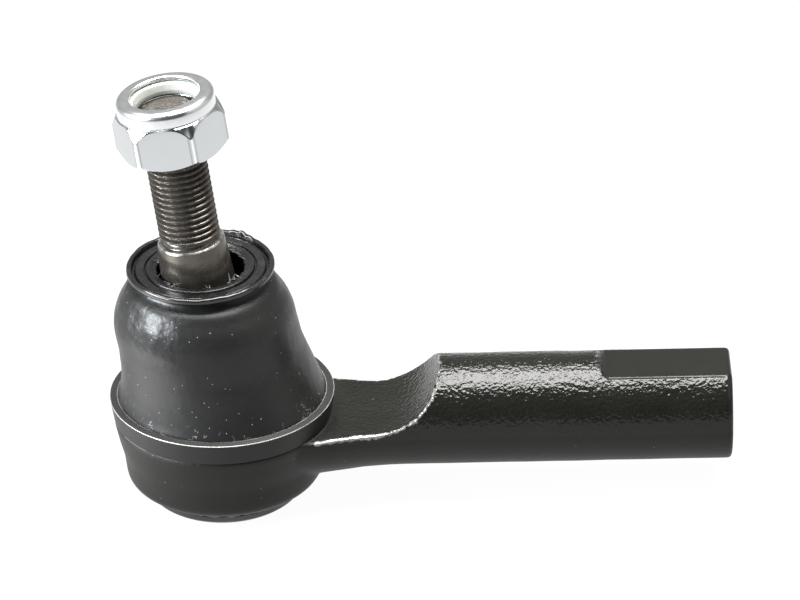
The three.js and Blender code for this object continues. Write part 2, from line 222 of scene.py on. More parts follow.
class Finish:
    """A surface finish: one principled shader and the nodes that vary it."""

    def __init__(self, name, **steady):
        self.material = bpy.data.materials.new(name)
        self.material.use_nodes = True
        self.tree = self.material.node_tree
        self.tree.nodes.clear()
        self.shader = self.tree.nodes.new("ShaderNodeBsdfPrincipled")
        output = self.tree.nodes.new("ShaderNodeOutputMaterial")
        self.tree.links.new(self.shader.outputs["BSDF"], output.inputs["Surface"])
        self.place = self.node("ShaderNodeTexCoord", output="Object")
        self.set(**steady)

    def plug(self, socket, value):
        if isinstance(value, Wire):
            self.tree.links.new(value.socket, socket)
        elif hasattr(socket.default_value, "__len__") and len(value) == 3 and len(socket.default_value) == 4:
            socket.default_value = (*value, 1.0)
        else:
            socket.default_value = value

    def node(self, kind, settings=None, sockets=None, output=0):
        node = self.tree.nodes.new(kind)
        for key, value in (settings or {}).items():
            setattr(node, key, value)
        for key, value in (sockets or {}).items():
            self.plug(node.inputs[key], value)
        return Wire(self, node.outputs[output])

    def set(self, **sockets):
        for key, value in sockets.items():
            self.plug(self.shader.inputs[key.replace("_", " ")], value)

    def clouds(self, per_mm, detail=3.0, harshness=0.5):
        """Soft random values, so many lumps to a millimetre."""
        return self.node("ShaderNodeTexNoise", {}, {
            "Vector": self.place, "Scale": per_mm * 1000, "Detail": detail, "Roughness": harshness})

    def specks(self, per_mm, size, share):
        """Small round spots, of which only a share is kept."""
        cells = self.tree.nodes.new("ShaderNodeTexVoronoi")
        self.plug(cells.inputs["Vector"], self.place)
        cells.inputs["Scale"].default_value = per_mm * 1000
        near = Wire(self, cells.outputs["Distance"])
        kept = self.node("ShaderNodeSeparateColor", {}, {"Color": Wire(self, cells.outputs["Color"])})
        return (1 - near.between(size * 0.7, size)) * kept.between(1 - share, 1.001 - share)

    def blend(self, share, first, second):
        """Colour first where share is 0, second where it is 1."""
        return self.node("ShaderNodeMix", {"data_type": "RGBA"}, {0: share, 6: first, 7: second}, output=2)

    def relief(self, *layers):
        """Bump from (height, depth in mm) pairs."""
        normal = None
        for height, depth in layers:
            sockets = {"Height": height, "Distance": depth / 1000, "Strength": 1.0}
            if normal is not None:
                sockets["Normal"] = normal
            normal = self.node("ShaderNodeBump", {}, sockets)
        self.set(Normal=normal)


def turned(outline, sides, closed=True, shape=None):
    """Points and faces of an outline of (radius, height) turned round the third axis. A radius of 0 at an
    end is a pole. shape moves the points: it takes and returns arrays of x, y, z."""
    outline = np.array(outline, float)
    angles = np.arange(sides) * 2 * math.pi / sides
    points, rows = [], []
    for radius, height in outline:
        start = len(points)
        if radius < 1e-9:
            points.append((0.0, 0.0, height))
            rows.append([start] * sides)
        else:
            points += [(radius * math.cos(a), radius * math.sin(a), height) for a in angles]
            rows.append(list(range(start, start + sides)))
    pairs = list(zip(rows, rows[1:])) + ([(rows[-1], rows[0])] if closed else [])
    faces = []
    for low, high in pairs:
        for i in range(sides):
            j = (i + 1) % sides
            ring = [low[i], low[j], high[j], high[i]]
            kept = [v for k, v in enumerate(ring) if v != ring[k - 1]]
            if len(kept) > 2:
                faces.append(kept)
    points = np.array(points)
    if shape:
        points = shape(points)
    return points, faces


def rounded(corners, steps=5):
    """An outline of (radius, height) or (radius, height, rounding) corners, with each rounding as an arc."""
    corners = [(*c, 0.0)[:3] for c in corners]
    outline = []
    for i, (r, z, rounding) in enumerate(corners):
        if rounding <= 0:
            outline.append((r, z))
            continue
        here = np.array((r, z))
        before = np.array(corners[i - 1][:2]) - here
        after = np.array(corners[(i + 1) % len(corners)][:2]) - here
        a, b = np.linalg.norm(before), np.linalg.norm(after)
        before, after = before / a, after / b
        half = math.acos(max(-1.0, min(1.0, float(before @ after)))) / 2
        reach = min(rounding / math.tan(half), 0.48 * a, 0.48 * b)
        radius = reach * math.tan(half)
        centre = here + (before + after) / np.linalg.norm(before + after) * radius / math.sin(half)
        first, last = here + before * reach - centre, here + after * reach - centre
        sweep = math.atan2(first[0] * last[1] - first[1] * last[0], float(first @ last))
        for k in range(steps + 1):
            a_k = sweep * k / steps
            c, s = math.cos(a_k), math.sin(a_k)
            spoke = np.array((c * first[0] - s * first[1], s * first[0] + c * first[1]))
            outline.append(tuple(centre + spoke))
    return outline


def finer(outline, step):
    """The same closed outline with its long stretches divided."""
    outline = [np.array(p, float) for p in outline]
    points = []
    for a, b in zip(outline, outline[1:] + outline[:1]):
        count = max(1, math.ceil(np.linalg.norm(b - a) / step))
        points += [tuple(a + (b - a) * k / count) for k in range(count)]
    return points


def piece(name, points, faces, finish, body, nodes, crease=35.0, slot=None):
    """An object from points in mm, smooth but for creases sharper than the given angle."""
    mesh = bpy.data.meshes.new(name)
    mesh.from_pydata([tuple(p) for p in np.asarray(points) / 1000], [], faces)
    settle(mesh)
    return fit(bpy.data.objects.new(name, mesh), finish, body, nodes, crease)


def settle(mesh):
    """Merges doubles and turns the faces outwards."""
    work = bmesh.new()
    work.from_mesh(mesh)
    bmesh.ops.remove_doubles(work, verts=work.verts, dist=1e-7)
    bmesh.ops.recalc_face_normals(work, faces=work.faces)
    work.to_mesh(mesh)
    work.free()
    mesh.update()


def fit(thing, finish, body, nodes, crease):
    thing.data.materials.clear()
    thing.data.materials.append(finish.material)
    thing.data.shade_smooth()
    thing.data.set_sharp_from_angle(angle=math.radians(crease))
    if thing.name not in bpy.context.collection.objects:
        bpy.context.collection.objects.link(thing)
    if body:
        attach(thing, body)
    if nodes:
        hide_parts(*nodes)
    return thing


bright_plate = Finish("bright_plate", Metallic=1.0)
bright_plate.set(
    Base_Color=bright_plate.blend(bright_plate.clouds(0.12), (0.06, 0.062, 0.064), (0.1, 0.103, 0.105)),
    Roughness=0.3 + 0.16 * bright_plate.clouds(0.5),
)
bright_plate.relief((bright_plate.clouds(1.6), 0.02))
PLATE = rounded([
    (0, 0), (14.3, 0, 0.6), (15.4, 0.9, 0.7), (15.25, 3.3, 0.3), (17.2, 3.3, 0.3), (17.2, 5.2, 0.3),
    (13.3, 5.2, 0.5), (13.3, 2.1, 0.9), (0, 2.1),
])
piece("closing_plate", *turned(PLATE, 144, closed=False), bright_plate, "socket", ["cover_plate"],
      slot="zinc_plate")


# ---------------------------------------------------------------- spring and ball seats
# Coned spring washer and two plastic half cups, hidden in the housing. The lower cup is pushed up
# against the ball and has a grease hole and grooves.

spring_steel = Finish("spring_steel", Metallic=1.0, Base_Color=(0.2, 0.2, 0.21))
spring_steel.set(Roughness=0.3 + 0.2 * spring_steel.clouds(0.8))
piece("coned_spring", *turned(rounded([
    (12.7, 2.25, 0.2), (12.7, 3.3, 0.2), (5.2, 4.25, 0.2), (5.2, 3.2, 0.2)]), 96), spring_steel, "socket",
    ["preload_spring"], slot="spring_steel")

seat_plastic = Finish("seat_plastic", Specular_IOR_Level=0.4)
seat_plastic.set(
    Base_Color=seat_plastic.blend(seat_plastic.clouds(0.2), (0.66, 0.63, 0.53), (0.74, 0.71, 0.62)),
    Roughness=0.42 + 0.15 * seat_plastic.clouds(1.0),
)
BALL_Z = joints["swing_along"]["pos_m"][2] * 1000
SEAT_BALL_R = 11.3


def hollow_arc(high, low, steps):
    """Outline of the seats' spherical hollow between two heights over the ball's centre."""
    a, b = math.asin(high / SEAT_BALL_R), math.asin(low / SEAT_BALL_R)
    turns = [a + (b - a) * k / steps for k in range(steps + 1)]
    return [(SEAT_BALL_R * math.cos(t), BALL_Z + SEAT_BALL_R * math.sin(t)) for t in turns]


piece("lower_cup", *turned([
    (4.2, 4.6), (12.2, 4.6), (12.4, 4.8), (12.4, 5.8), (14.1, 5.8), (14.3, 6.0), (14.3, 16.85),
    *hollow_arc(-0.25, -10.5, 24)], 96), seat_plastic, "socket", ["lower_seat"], slot="seat_plastic")
piece("upper_cup", *turned([
    *hollow_arc(5.2, 0.25, 14), (14.3, 17.35), (14.3, 22.0), (14.0, 22.3)], 96), seat_plastic, "socket",
    ["upper_seat"], slot="seat_plastic")


# ---------------------------------------------------------------- housing
# Drop-forged steel cup, web and shank in one, with a thin black coat. The web is scooped on top, the
# shank's last length has two flats for a spanner and an internal thread.

BAR_START, BAR_END = 12.0, 101.2
SHANK_R = 11.0
FLAT_START, FLAT_HALF = 75.7, 9.5
SCOOP_TOP, SCOOP_X, SCOOP_R = BALL_Z + 0.4, 29.5, 14.0
BORE_R = 6.95
PEEL_DEPTH, PEEL_SIZE = 0.03, 0.8
WAVE_DEPTH, WAVE_SIZE = 0.09, 7.0


def smooth_step(low, high, x):
    t = np.clip((x - low) / (high - low), 0, 1)
    return t * t * (3 - 2 * t)


def bar_section(x, sides):
    """One closed section of the web and shank: a round, wider towards the cup, cut flat where needed."""
    widths = (
        [12, 13, 17.4, 21, 24.5, 28, 33, 36, 120],
        [16.7, 16.4, 14.3, 13.1, 12.35, 11.7, 11.15, 11, 11])
    depths = ([12, 17.4, 21, 24.5, 28, 33, 36, 120], [12.4, 12.1, 11.9, 11.6, 11.25, 11.05, 11, 11])
    wide, deep = np.interp(x, *widths), np.interp(x, *depths)
    angle = np.linspace(0, 2 * math.pi, sides, endpoint=False)
    y, z = np.cos(angle), np.sin(angle)
    y = wide * y
    z = np.where(z > 0, SHANK_R, deep) * z
    # trimmed forging seam along both sides
    seam = wide - 0.14
    y = np.clip(y, -seam, seam)
    top = 99.0
    if x < SCOOP_X:
        top = SCOOP_TOP - BALL_Z
    elif x < SCOOP_X + SCOOP_R:
        top = SCOOP_TOP - BALL_Z + SCOOP_R - math.sqrt(SCOOP_R**2 - (x - SCOOP_X) ** 2)
    flat = FLAT_HALF + 1.6 * (1 - smooth_step(FLAT_START - 1.3, FLAT_START + 0.5, x))
    z = np.clip(z, -flat, min(top, flat))
    end = min(0.0, BAR_END - 0.5 - x)
    shrink = 1 + end / SHANK_R
    return np.stack([np.full(sides, x), y * shrink, BALL_Z + z * shrink], 1)


def lofted(sections):
    count = len(sections[0])
    points = np.concatenate(sections)
    faces = [list(range(count))[::-1], [len(points) - count + i for i in range(count)]]
    for s in range(len(sections) - 1):
        for i in range(count):
            j = (i + 1) % count
            a, b = s * count + i, s * count + j
            faces.append([a, b, b + count, a + count])
    return points, faces


def tool(name, points, faces):
    """A helper solid that only cuts or joins."""
    mesh = bpy.data.meshes.new(name)
    mesh.from_pydata([tuple(p) for p in np.asarray(points) / 1000], [], faces)
    settle(mesh)
    thing = bpy.data.objects.new(name, mesh)
    bpy.context.collection.objects.link(thing)
    return thing


def on_shank(points):
    """Turns a solid made along +Z to lie along the shank's axis from the end face inwards."""
    return np.stack([BAR_END - points[:, 2], points[:, 1], BALL_Z + points[:, 0]], 1)


fine = np.arange(BAR_START, 48, 0.35)
rest = np.concatenate([np.arange(48, 73.5, 1.5), np.arange(73.5, 77, 0.25), np.arange(77, 100, 2.0),
                       [100.4, 100.7, 101.2]])
bar = tool("bar", *lofted([bar_section(x, 200) for x in np.concatenate([fine, rest])]))
CUP = rounded([
    (0, 2.0), (15.9, 2.0, 0.3), (19.55, 4.9, 2.6), (20.0, 9.8, 6), (20.9, 13.4, 6), (21.6, 16.9, 3),
    (21.6, 17.8, 0.1), (20.8, 18.1, 0.1), (20.8, 18.4),
    (17.3, 18.4, 0.3), (17.3, 23.0), (17.8, 23.6), (17.3, 24.6), (16.7, 25.0), (0, 25.0)], 8)
cup = tool("cup", *turned(CUP, 256, closed=False))
hollow = tool("hollow", *turned([
    (0, -1), (15.5, -1), (15.5, 3.0), (17.5, 3.0), (17.5, 5.5), (14.6, 5.5), (14.6, 22.6), (10.2, 22.6),
    (10.2, 24.0), (11.2, 25.0), (11.2, 26.0), (0, 26.0)], 192, closed=False))
bore = tool("bore", *turned([
    (0, -1), (8.0, -1), (BORE_R, 0.9), (BORE_R, 36), (0, 39)], 144, closed=False, shape=on_shank))
for helper, action in ((bar, "UNION"), (hollow, "DIFFERENCE"), (bore, "DIFFERENCE")):
    cut = cup.modifiers.new(helper.name, "BOOLEAN")
    cut.object, cut.operation, cut.solver = helper, action, "EXACT"
skin = cup.modifiers.new("skin", "REMESH")
skin.mode, skin.voxel_size = "VOXEL", 0.00045
bpy.context.view_layer.update()
forged_mesh = bpy.data.meshes.new_from_object(cup.evaluated_get(bpy.context.evaluated_depsgraph_get()))
for helper in (cup, bar, hollow, bore):
    bpy.data.objects.remove(helper)


def mesh_arrays(mesh):
    spots = np.empty(len(mesh.vertices) * 3)
    mesh.vertices.foreach_get("co", spots)
    ways = np.empty(len(mesh.vertices) * 3)
    mesh.vertices.foreach_get("normal", ways)
    ends = np.empty(len(mesh.edges) * 2, int)
    mesh.edges.foreach_get("vertices", ends)
    return spots.reshape(-1, 3) * 1000, ways.reshape(-1, 3), ends.reshape(-1, 2)


def neighbour_mean(values, ends):
    total, count = np.zeros_like(values), np.zeros(len(values))
    for a, b in ((0, 1), (1, 0)):
        np.add.at(total, ends[:, a], values[ends[:, b]])
        np.add.at(count, ends[:, a], 1)
    return total / (count[:, None] if values.ndim > 1 else count)


def lumps(spots, size, seed):
    """Random height between -1 and 1 at each point, with lumps of about the given size in mm."""
    shift = Vector((seed * 7.13, seed * 3.71, seed * 5.29))
    return np.array([noise.noise(Vector(p) / size + shift) for p in spots])


spots, ways, ends = mesh_arrays(forged_mesh)
for _ in range(2):
    spots += 0.5 * (neighbour_mean(spots, ends) - spots)
from_axis = np.hypot(spots[:, 0], spots[:, 1])
from_shank = np.hypot(spots[:, 1], spots[:, 2] - BALL_Z)
inside_cup = (from_axis < 17.9) & (spots[:, 0] < 18.5)
inside_bore = (from_shank < 8.3) & (spots[:, 0] > 55)
on_bar = smooth_step(19, 26, spots[:, 0])
on_flat = (np.abs(ways[:, 2]) > 0.9) & (spots[:, 0] > 76)
machined = inside_cup | inside_bore | (spots[:, 0] > 100.9)
peel = PEEL_DEPTH * lumps(spots, PEEL_SIZE, 1)
wave = WAVE_DEPTH * lumps(spots, WAVE_SIZE, 3)
smooth_under = smooth_step(BALL_Z - 1.2, BALL_Z + 0.6, spots[:, 2])
amount = (0.12 + 0.88 * on_bar * smooth_under) * np.where(on_flat, 0.12, 1.0) * np.where(machined, 0, 1)
amount *= 1 - smooth_step(99.9, 100.4, spots[:, 0])
gloss = (0.12 + 0.88 * on_bar * smooth_under) * np.where(on_flat, 0.75, 1.0)
rise = peel * amount + np.where(machined | on_flat, 0, wave * (0.5 + 0.5 * smooth_under))
spots += ways * rise[:, None]
height = ((spots - neighbour_mean(spots, ends)) * ways).sum(1)
wear_and_glint = np.clip(neighbour_mean(np.clip(height / 0.07, 0, 1), ends), 0, 1)
wear_and_glint[machined | (spots[:, 0] > 98) | ((from_axis > 20) & (spots[:, 0] < 18.5))] *= 0.3
forged_mesh.vertices.foreach_set("co", (spots / 1000).ravel())
forged_mesh.update()
for name, values in (("wear_and_glint", wear_and_glint), ("peel", amount), ("gloss", gloss)):
    forged_mesh.attributes.new(name, "FLOAT", "POINT").data.foreach_set("value", values.astype(np.float32))

black_coat = Finish("black_coat", Specular_IOR_Level=0.27)
coat_worn = black_coat.node("ShaderNodeAttribute", {"attribute_name": "wear_and_glint"}, output="Fac")
coat_peel = black_coat.node("ShaderNodeAttribute", {"attribute_name": "peel"}, output="Fac")
coat_gloss = black_coat.node("ShaderNodeAttribute", {"attribute_name": "gloss"}, output="Fac")
coat_dust = black_coat.specks(0.9, 0.1, 0.05)
coat_bare = (coat_worn + 0.9 * black_coat.clouds(0.9) - 0.45).between(0.3, 0.7)
coat_tone = black_coat.blend(black_coat.clouds(0.15, 2), (0.0045, 0.0045, 0.0034), (0.0075, 0.0075, 0.006))
black_coat.set(
    Base_Color=black_coat.blend(
        coat_dust,
        black_coat.blend(coat_bare * 0.9, coat_tone, (0.3, 0.295, 0.28)),
        (0.2, 0.2, 0.19),
    ),
    Roughness=0.5 - 0.4 * coat_gloss + 0.06 * black_coat.clouds(0.5, 3),
    Metallic=coat_bare * 0.7,
)
black_coat.relief(
    (black_coat.clouds(1.35, 1.5, 0.5) * coat_peel, 0.23),
    (black_coat.clouds(3.0, 1) * coat_peel, 0.03),
)
fit(bpy.data.objects.new("forged_housing", forged_mesh), black_coat, "socket", ["housing"], 60)


# ---------------------------------------------------------------- thread in the shank
# M14 x 1.5 internal thread for the steering rod, cut into the shank's bore and left bright with
# oil. It fades out at the mouth of the bore and at its far end.

ROD_PITCH, ROD_MAJOR, ROD_MINOR, ROD_DEPTH = 1.5, 6.95, 6.25, 33.0


def thread_height(phase):
    """0 at the root and 1 at the crest of a 60 degree thread, for a phase of 0 to 1 along a pitch."""
    t = np.clip((np.abs((phase % 1.0) - 0.5) * 2 - 0.1) / 0.84, 0, 1)
    return t * t * (3 - 2 * t)


def threaded_sleeve(points):
    """Winds the sleeve's inner wall into a thread, fading at its mouth and end."""
    radius = np.hypot(points[:, 0], points[:, 1])
    angle = np.arctan2(points[:, 1], points[:, 0])
    inner = radius < ROD_MAJOR - 0.01
    crest = thread_height(points[:, 2] / ROD_PITCH + angle / (2 * math.pi))
    fade = np.clip(np.minimum(points[:, 2] - 0.5, ROD_DEPTH - points[:, 2]) / 1.2, 0, 1)
    wanted = ROD_MAJOR - 0.02 - (ROD_MAJOR - ROD_MINOR) * crest * fade
    scale = np.where(inner, wanted / radius, 1.0)
    return on_shank(np.stack([points[:, 0] * scale, points[:, 1] * scale, points[:, 2]], 1))


cut_steel = Finish("cut_steel", Metallic=0.9, Base_Color=(0.13, 0.125, 0.12))
cut_steel.set(Roughness=0.32 + 0.2 * cut_steel.clouds(1.2))
sleeve = [(ROD_MAJOR + 0.25, z) for z in (ROD_DEPTH, 0.4)] + [
    (ROD_MAJOR - 0.1, z) for z in np.arange(0.5, ROD_DEPTH, ROD_PITCH / 9)]
piece("rod_thread", *turned(sleeve, 72, shape=threaded_sleeve), cut_steel, "socket", ["housing"], 50,
      "black_coat")


# ---------------------------------------------------------------- band round the boot's foot
# Narrow steel band pressed over the rubber, black like the housing, its upper edge turned in. Thin
# lines of bare-metal colour along its two top edges are partly rubbed wear and partly a painted highlight.

BAND_HIGH, BAND_LOW = 22.45, 17.9
BAND = rounded([
    (20.7, BAND_LOW, 0.1), (21.74, BAND_LOW, 0.06), (22.38, 22.25, 0.2), (20.7, BAND_HIGH, 0.2)])


def band_dents(points):
    angle = np.arctan2(points[:, 1], points[:, 0])
    out = 1 + 0.0012 * np.sin(3 * angle + 0.7) + 0.0009 * np.sin(11 * angle)
    out += 0.0006 * np.sin(23 * angle + 2)
    return points * np.stack([out, out, np.ones_like(out)], 1)


foot_points, foot_faces = turned(finer(BAND, 0.14), 300, shape=band_dents)
foot_out = np.hypot(foot_points[:, 0], foot_points[:, 1])
foot_angle = np.degrees(np.arctan2(foot_points[:, 1], foot_points[:, 0])) % 360
seam_scrape = smooth_step(207, 209, foot_angle) * (1 - smooth_step(226, 229, foot_angle))
# thin bright lines along the band's outer and inner top edges, partly rub wear and partly painted highlight,
# and a scrape along its foot
foot_rub_and_glint = np.maximum.reduce([
    np.exp(-(((foot_out - 22.3) / 0.1) ** 2 + ((foot_points[:, 2] - 22.2) / 0.12) ** 2)),
    0.85 * np.exp(-(((foot_out - 20.8) / 0.12) ** 2 + ((foot_points[:, 2] - 22.4) / 0.12) ** 2)),
    seam_scrape * np.exp(-(((foot_points[:, 2] - BAND_LOW - 0.06) / 0.1) ** 2))])
band_coat = Finish("band_coat", Specular_IOR_Level=0.3)
band_rub_and_glint = band_coat.node("ShaderNodeAttribute", {"attribute_name": "wear_and_glint"}, output="Fac")
band_rub_and_glint = (band_rub_and_glint * (0.55 + 0.9 * band_coat.clouds(0.25, 4, 0.6))).between(0.25, 0.8)
band_coat.set(
    Base_Color=band_coat.blend(band_rub_and_glint, (0.009, 0.009, 0.008), (0.3, 0.3, 0.29)),
    Roughness=0.4 + 0.2 * band_coat.clouds(0.7),
    Metallic=band_rub_and_glint * 0.7,
)
band_coat.relief((band_coat.clouds(1.8, 4), 0.02))
foot_band = piece("foot_band", foot_points, foot_faces, band_coat, "socket", ["boot_base_ring"], 50,
                  "band_steel")
rub_and_glint_layer = foot_band.data.attributes.new("wear_and_glint", "FLOAT", "POINT")
rub_and_glint_layer.data.foreach_set("value", foot_rub_and_glint.astype(np.float32))


# ---------------------------------------------------------------- dust boot
# Plain moulded rubber boot without folds, thin-walled, drawn to one side by the leaning stud. It is
# made in two lengths that meet at the waist.

satin_rubber = Finish("satin_rubber", Specular_IOR_Level=0.36)
rubber_bloom = satin_rubber.clouds(0.08, 3, 0.55)
rubber_dust = satin_rubber.specks(1.2, 0.16, 0.16) * satin_rubber.clouds(0.12, 2).between(0.38, 0.5)
rubber_low = satin_rubber.node("ShaderNodeSeparateXYZ", {}, {"Vector": satin_rubber.place}, output="Z")
rubber_side = satin_rubber.node("ShaderNodeSeparateXYZ", {}, {"Vector": satin_rubber.place}, output="X")
rubber_shoulder = (1 - rubber_side.between(-0.013, -0.002)) * rubber_low.between(0.034, 0.039)
lint_line = satin_rubber.clouds(0.35, 2) - 0.5
lint_line = 1 - (lint_line * lint_line * 1000).between(0.02, 0.12)
lint_patch = satin_rubber.clouds(0.5, 1).between(0.56, 0.6)
rubber_lint = lint_line * lint_patch * (1 - rubber_low.between(0.0235, 0.0265))
satin_rubber.set(
    Base_Color=satin_rubber.blend(
        rubber_dust * 0.8 + rubber_lint * 0.4,
        satin_rubber.blend(rubber_bloom, (0.0035, 0.0035, 0.0032), (0.008, 0.008, 0.0076)),
        (0.22, 0.22, 0.215),
    ),
    Roughness=0.25 + 0.22 * rubber_bloom + 0.06 * satin_rubber.clouds(1.5),
)
satin_rubber.relief(
    (satin_rubber.clouds(0.16, 2, 0.4), 0.22),
    (satin_rubber.clouds(0.27, 3, 0.45) * rubber_shoulder, 0.55),
    (satin_rubber.clouds(0.6, 2), 0.05),
    (satin_rubber.clouds(3.0, 3), 0.008),
)

BOOT_FOOT = 18.8
BOOT_WAIST = 34.0
BOOT_OUTSIDE = [(22.6, 20.7), (25, 19.9), (28, 19.16), (31, 18.64), (34, 18.25), (37, 18.18), (40, 17.91),
                (43, 16.98), (45.2, 15.71), (46.8, 14.6), (47.6, 13.5), (48.3, 12.8), (49.4, 12.6)]
BOOT_DRIFT = [(18, 0), (23, 0), (27, -0.4), (32, -1.44), (35, -2.05), (39, -2.68), (43, -2.83), (46, -3.0),
              (49, -3.15), (60, -3.15)]


def smooth_curve(knots, at):
    """A smooth curve through (place, value) knots that doesn't overshoot."""
    x, y = np.array(knots, float).T
    step = np.diff(x)
    rise = np.diff(y) / step
    slope = np.zeros(len(x))
    for i in range(1, len(x) - 1):
        if rise[i - 1] * rise[i] > 0:
            w1, w2 = 2 * step[i] + step[i - 1], step[i] + 2 * step[i - 1]
            slope[i] = (w1 + w2) / (w1 / rise[i - 1] + w2 / rise[i])
    slope[0], slope[-1] = rise[0], rise[-1]
    at = np.asarray(at, float)
    k = np.clip(np.searchsorted(x, at) - 1, 0, len(x) - 2)
    t = np.clip((at - x[k]) / step[k], 0, 1)
    return ((2 * t**3 - 3 * t**2 + 1) * y[k] + (t**3 - 2 * t**2 + t) * step[k] * slope[k]
            + (-2 * t**3 + 3 * t**2) * y[k + 1] + (t**3 - t**2) * step[k] * slope[k + 1])


def leaning(points):
    return points + np.stack([smooth_curve(BOOT_DRIFT, points[:, 2]), 0 * points[:, 0], 0 * points[:, 0]], 1)


def boot_wall(low, high, step=0.35, thickness=1.6):
    """The outline of a length of boot: up its outside and down its inside."""
    up = np.linspace(low, high, int((high - low) / step) + 1)
    outside = smooth_curve(BOOT_OUTSIDE, up)
    inside = np.where(up < 24.5, np.minimum(outside - thickness, 17.65 + np.clip(up - 22.2, 0, 9) * 0.45),
                      outside - thickness)
    inside = np.maximum(inside, 10.7)
    return [*zip(outside, up), *zip(inside[::-1], up[::-1])]


skirt_wall = [(20.7, BOOT_FOOT), *boot_wall(19.4, BOOT_WAIST), (17.6, BOOT_FOOT)]
skirt = piece("boot_skirt", *turned(skirt_wall, 200, shape=leaning), satin_rubber, None, ["dust_boot"], 40,
              "boot_rubber")
crown = piece("boot_crown", *turned(boot_wall(BOOT_WAIST, 49.3), 200, shape=leaning), satin_rubber, None,
              ["dust_boot"], 40, "boot_rubber")
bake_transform(skirt)
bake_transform(crown)


# ---------------------------------------------------------------- mouth of the boot
# Stiff ring moulded into the rubber: an outer rim, a groove, a flat seat and a stepped edge round the
# stud, with torn flash left from the mould.

mouth_low, mouth_high = (1000 * np.array(corner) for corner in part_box("boot_lip_ring"))
MOUTH_X, MOUTH_TOP = (mouth_low[0] + mouth_high[0]) / 2, mouth_high[2]
MOUTH_R = (mouth_high[0] - mouth_low[0]) / 2
RIM_LIP_R, HOLE_R = MOUTH_R - 0.95, 8.6
mouth_rubber = Finish("mouth_rubber", Specular_IOR_Level=0.6)
mouth_scuff = mouth_rubber.clouds(0.5, 5, 0.65)
mouth_rubber.set(
    Base_Color=mouth_rubber.blend(
        mouth_scuff.between(0.45, 0.8), (0.003, 0.003, 0.003), (0.01, 0.01, 0.0098)),
    Roughness=0.2 + 0.14 * mouth_scuff,
)
mouth_rubber.relief((mouth_rubber.clouds(0.5, 2), 0.04), (mouth_rubber.clouds(2.2, 3), 0.012))
MOUTH = rounded([
    (12.3, -2.3, 0.3), (12.9, -2.1, 0.4), (14.0, -1.3, 0.3), (MOUTH_R, -0.95, 0.5),
    (MOUTH_R + 0.02, 0.1, 0.6), (RIM_LIP_R, 0.1, 0.25), (RIM_LIP_R - 0.25, -1.0, 0.2), (13.1, -1.05, 0.1),
    (12.75, -0.5, 0.2), (11.15, -0.5, 0.1), (11.05, -0.95, 0.12), (10.75, -0.95, 0.1),
    (10.6, -0.3, 0.15), (10.0, -0.25, 0.2), (9.4, -0.5, 0.2),
    (8.7, -0.6, 0.2), (HOLE_R, -1.2, 0.2), (9.0, -1.9, 0.2), (10.9, -2.0, 0.3)], 5)


def mouth_shape(points):
    """Moves the ring over the stud and tips it a little, with an uneven rim and a loose flap at its rear."""
    angle = np.arctan2(points[:, 1], points[:, 0])
    radius = np.hypot(points[:, 0], points[:, 1])
    uneven = 0.07 * np.sin(5 * angle + 1) + 0.05 * np.sin(13 * angle) + 0.03 * np.sin(29 * angle + 1)
    flap = 0.55 * np.exp(-(((angle - 0.98) / 0.16) ** 2)) * (1 + 0.35 * np.sin(40 * angle))
    on_rim = smooth_step(13.0, 13.6, radius) * smooth_step(-1.3, -0.3, points[:, 2])
    inner = 1 - smooth_step(8.9, 9.6, radius)
    ragged = 0.12 * np.sin(17 * angle + 2) * np.sin(7 * angle) + 0.08 * np.sin(41 * angle)
    x, y, z = points.T
    return np.stack([
        x * (1 + ragged * inner / radius) + MOUTH_X,
        y * (1 + ragged * inner / radius),
        z + MOUTH_TOP + 0.0105 * x + 0.01 * y + (uneven + flap) * on_rim], 1)


piece("mouth_ring", *turned(MOUTH, 300, shape=mouth_shape), mouth_rubber, "boot_mouth", ["boot_lip_ring"], 40,
      "boot_rubber")


